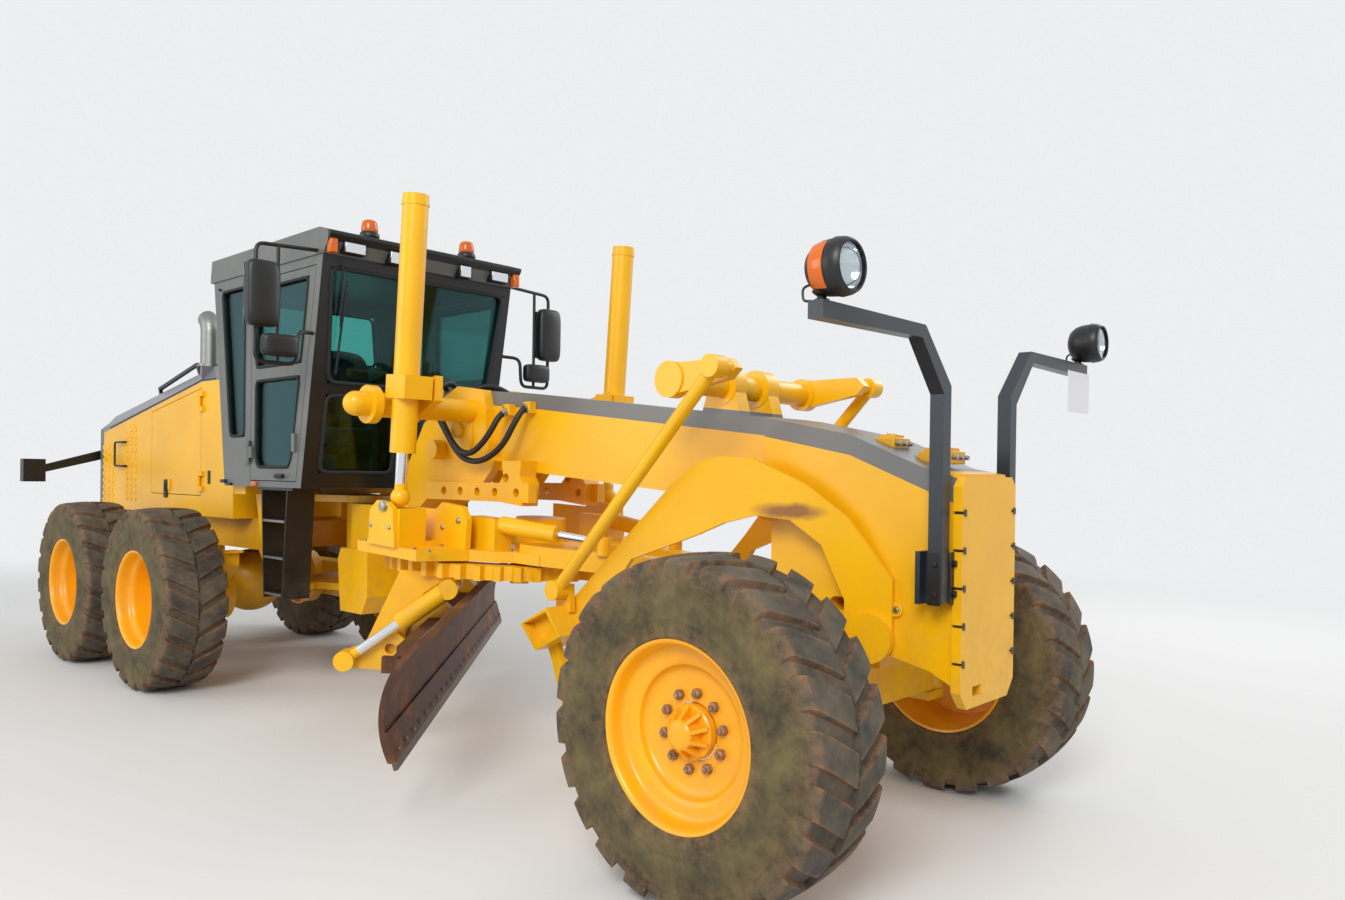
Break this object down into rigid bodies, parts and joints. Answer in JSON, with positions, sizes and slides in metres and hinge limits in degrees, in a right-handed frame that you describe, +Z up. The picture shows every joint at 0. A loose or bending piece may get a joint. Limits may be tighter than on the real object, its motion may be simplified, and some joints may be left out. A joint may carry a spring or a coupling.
{
  "type": "motor grader",
  "caption": "Articulated motor grader with tandem drive, glazed cab, arched front frame, drawbar with toothed circle and curved blade, and a mid-mounted scarifier.",
  "frame": {"origin": "on the ground, under the middle of the machine's bounding box", "axes": "+X forwards, +Y to the machine's left, +Z up"},
  "size_m": [8.9248, 2.8078, 3.2884],
  "materials": {
    "yellow_paint": "glossy yellow paint",
    "rim_paint": "glossy deep yellow paint",
    "tyre_rubber": "dusty worn rubber",
    "grey_paint": "satin grey paint",
    "black_paint": "satin black paint",
    "black_plastic": "matt black plastic",
    "seat_fabric": "woven seat cloth",
    "window_glass": "tinted safety glass",
    "rod_chrome": "bright hard chrome",
    "worn_steel": "rust-brown worn steel",
    "exhaust_steel": "dull aluminised steel",
    "engine_iron": "painted cast iron",
    "hose_rubber": "black hose rubber"
  },
  "bodies": {
    "rear_frame": {"rear_chassis": "yellow_paint", "rear_axle": "yellow_paint", "tandem_cases": "yellow_paint", "hood": "yellow_paint", "engine_block": "engine_iron", "rear_grille": "grey_paint", "exhaust_stack": "exhaust_steel", "hood_handrails": "black_paint", "rear_lamps": "black_paint", "cab_body": "grey_paint", "cab_roof": "grey_paint", "cab_glass": "window_glass", "operator_seat": "seat_fabric", "control_console": "black_plastic", "roof_lights": "black_plastic", "mirrors": "black_paint", "cab_steps": "black_paint"},
    "front_frame": {"main_frame": "yellow_paint", "nose_plate": "yellow_paint", "saddle": "yellow_paint", "hydraulic_hoses": "hose_rubber", "lamp_arms": "black_paint", "head_lamps": "black_plastic", "front_axle": "yellow_paint"},
    "drawbar": {"drawbar": "yellow_paint"},
    "circle": {"circle": "yellow_paint"},
    "blade_carrier": {"blade_carrier": "yellow_paint"},
    "moldboard": {"moldboard": "worn_steel"},
    "tilt_barrel": {"tilt_barrel": "yellow_paint"},
    "tilt_rod": {"tilt_rod": "rod_chrome"},
    "lift_barrel_right": {"lift_barrel_right": "yellow_paint"},
    "lift_barrel_left": {"lift_barrel_left": "yellow_paint"},
    "lift_rod_right": {"lift_rod_right": "rod_chrome"},
    "lift_rod_left": {"lift_rod_left": "rod_chrome"},
    "scarifier": {"scarifier": "yellow_paint"},
    "scarifier_shaft": {"scarifier_shaft": "yellow_paint"},
    "scarifier_rods": {"scarifier_rods": "yellow_paint"},
    "knuckle_right": {"knuckle_right": "yellow_paint"},
    "knuckle_left": {"knuckle_left": "yellow_paint"},
    "tie_rod": {"tie_rod": "yellow_paint"},
    "cab_door_right": {"cab_door_right": "grey_paint", "door_glass_right": "window_glass"},
    "cab_door_left": {"cab_door_left": "grey_paint", "door_glass_left": "window_glass"},
    "engine_door_right": {"engine_door_right": "yellow_paint"},
    "engine_door_left": {"engine_door_left": "yellow_paint"},
    "wheel_front_right": {"tyre_front_right": "tyre_rubber", "rim_front_right": "rim_paint"},
    "wheel_front_left": {"tyre_front_left": "tyre_rubber", "rim_front_left": "rim_paint"},
    "wheel_mid_right": {"tyre_mid_right": "tyre_rubber", "rim_mid_right": "rim_paint"},
    "wheel_mid_left": {"tyre_mid_left": "tyre_rubber", "rim_mid_left": "rim_paint"},
    "wheel_rear_right": {"tyre_rear_right": "tyre_rubber", "rim_rear_right": "rim_paint"},
    "wheel_rear_left": {"tyre_rear_left": "tyre_rubber", "rim_rear_left": "rim_paint"}
  },
  "joints": [
    {"name": "articulation", "type": "hinge", "parent": "rear_frame", "child": "front_frame", "pos_m": [-0.4225, 0.14599, 1.1], "axis": [0, 0, 1], "range_deg": [-20, 20]},
    {"name": "steer_right", "type": "hinge", "parent": "front_frame", "child": "knuckle_right", "pos_m": [3.7375, -0.57401, 0.665], "axis": [0, 0, 1], "range_deg": [-35, 35]},
    {"name": "steer_left", "type": "hinge", "parent": "front_frame", "child": "knuckle_left", "pos_m": [3.7375, 0.86599, 0.665], "axis": [0, 0, 1], "range_deg": [-35, 35]},
    {"name": "tie_rod_swing", "type": "hinge", "parent": "knuckle_right", "child": "tie_rod", "pos_m": [3.4475, -0.57401, 0.69], "axis": [0, 0, 1], "range_deg": [-35, 35]},
    {"name": "wheel_front_right_spin", "type": "hinge", "parent": "knuckle_right", "child": "wheel_front_right", "pos_m": [3.7375, -0.87401, 0.665], "axis": [0, 1, 0], "continuous": true},
    {"name": "wheel_front_left_spin", "type": "hinge", "parent": "knuckle_left", "child": "wheel_front_left", "pos_m": [3.7375, 1.16599, 0.665], "axis": [0, 1, 0], "continuous": true},
    {"name": "wheel_mid_right_spin", "type": "hinge", "parent": "rear_frame", "child": "wheel_mid_right", "pos_m": [-1.537, -0.87401, 0.665], "axis": [0, 1, 0], "continuous": true},
    {"name": "wheel_mid_left_spin", "type": "hinge", "parent": "rear_frame", "child": "wheel_mid_left", "pos_m": [-1.537, 1.16599, 0.665], "axis": [0, 1, 0], "continuous": true},
    {"name": "wheel_rear_right_spin", "type": "hinge", "parent": "rear_frame", "child": "wheel_rear_right", "pos_m": [-3.108, -0.87401, 0.665], "axis": [0, 1, 0], "continuous": true},
    {"name": "wheel_rear_left_spin", "type": "hinge", "parent": "rear_frame", "child": "wheel_rear_left", "pos_m": [-3.108, 1.16599, 0.665], "axis": [0, 1, 0], "continuous": true},
    {"name": "blade_lift", "type": "hinge", "parent": "front_frame", "child": "drawbar", "pos_m": [3.3075, 0.14599, 1.1], "axis": [0, 1, 0], "range_deg": [-7, 1.5]},
    {"name": "lift_barrel_right_swing", "type": "hinge", "parent": "front_frame", "child": "lift_barrel_right", "pos_m": [1.3675, -0.66401, 2.09], "axis": [0, 1, 0], "range_deg": [-0.48, 1.13]},
    {"name": "lift_rod_right_travel", "type": "slide", "parent": "lift_barrel_right", "child": "lift_rod_right", "axis": [-0.0715, 0, -0.9974], "range_m": [-0.0591, 0.2575]},
    {"name": "lift_barrel_left_swing", "type": "hinge", "parent": "front_frame", "child": "lift_barrel_left", "pos_m": [1.3675, 0.95599, 2.09], "axis": [0, 1, 0], "range_deg": [-0.48, 1.13]},
    {"name": "lift_rod_left_travel", "type": "slide", "parent": "lift_barrel_left", "child": "lift_rod_left", "axis": [-0.0715, 0, -0.9974], "range_m": [-0.0591, 0.2575]},
    {"name": "circle_turn", "type": "hinge", "parent": "drawbar", "child": "circle", "pos_m": [1.27507, 0.14599, 1.08864], "axis": [0.0436, 0, 0.999], "range_deg": [-88, 3]},
    {"name": "blade_pitch", "type": "hinge", "parent": "circle", "child": "blade_carrier", "pos_m": [0.91243, -0.19342, 0.56396], "axis": [-0.7064, 0.7071, 0.0308], "range_deg": [-3, 12]},
    {"name": "tilt_barrel_swing", "type": "hinge", "parent": "circle", "child": "tilt_barrel", "pos_m": [1.57448, -0.5399, 0.97547], "axis": [-0.7064, 0.7071, 0.0308], "range_deg": [-1.59, 4.88]},
    {"name": "tilt_rod_travel", "type": "slide", "parent": "tilt_barrel", "child": "tilt_rod", "axis": [-0.5902, -0.5645, -0.5771], "range_m": [-0.0546, 0.0174]},
    {"name": "blade_shift", "type": "slide", "parent": "blade_carrier", "child": "moldboard", "axis": [0.7064, -0.7071, -0.0308], "range_m": [-0.4, 0.4]},
    {"name": "scarifier_lift", "type": "hinge", "parent": "front_frame", "child": "scarifier", "pos_m": [3.9775, 0.14599, 0.95], "axis": [0, 1, 0], "range_deg": [-13, 1]},
    {"name": "scarifier_shaft_turn", "type": "hinge", "parent": "front_frame", "child": "scarifier_shaft", "pos_m": [3.0775, 0.14599, 2.06], "axis": [0, 1, 0], "range_deg": [-4.59, 47.68]},
    {"name": "scarifier_rod_swing", "type": "hinge", "parent": "scarifier_shaft", "child": "scarifier_rods", "pos_m": [3.4225, 0.14599, 2.09], "axis": [0, 1, 0], "range_deg": [-53.22, 5.02]},
    {"name": "cab_door_right_swing", "type": "hinge", "parent": "rear_frame", "child": "cab_door_right", "pos_m": [-0.7225, -0.62001, 2.2], "axis": [0, 0, -1], "range_deg": [0, 85]},
    {"name": "engine_door_right_swing", "type": "hinge", "parent": "rear_frame", "child": "engine_door_right", "pos_m": [-2.0125, -0.43001, 1.8], "axis": [0, 0, 1], "range_deg": [0, 100]},
    {"name": "cab_door_left_swing", "type": "hinge", "parent": "rear_frame", "child": "cab_door_left", "pos_m": [-0.7225, 0.91199, 2.2], "axis": [0, 0, 1], "range_deg": [0, 85]},
    {"name": "engine_door_left_swing", "type": "hinge", "parent": "rear_frame", "child": "engine_door_left", "pos_m": [-2.0125, 0.72199, 1.8], "axis": [0, 0, -1], "range_deg": [0, 100]}
  ],
  "couplings": [
    {"joint": "steer_left", "follows": "steer_right", "ratio": 1},
    {"joint": "tie_rod_swing", "follows": "steer_right", "ratio": -1},
    {"joint": "lift_barrel_right_swing", "follows": "blade_lift", "ratio": -0.1184},
    {"joint": "lift_rod_right_travel", "follows": "blade_lift", "m_per_rad": -2.0667},
    {"joint": "lift_barrel_left_swing", "follows": "blade_lift", "ratio": -0.1184},
    {"joint": "lift_rod_left_travel", "follows": "blade_lift", "m_per_rad": -2.0667},
    {"joint": "tilt_barrel_swing", "follows": "blade_pitch", "ratio": 0.36457},
    {"joint": "tilt_rod_travel", "follows": "blade_pitch", "m_per_rad": -0.23697},
    {"joint": "scarifier_shaft_turn", "follows": "scarifier_lift", "ratio": -3.5909},
    {"joint": "scarifier_rod_swing", "follows": "scarifier_lift", "ratio": 4.0173}
  ]
}
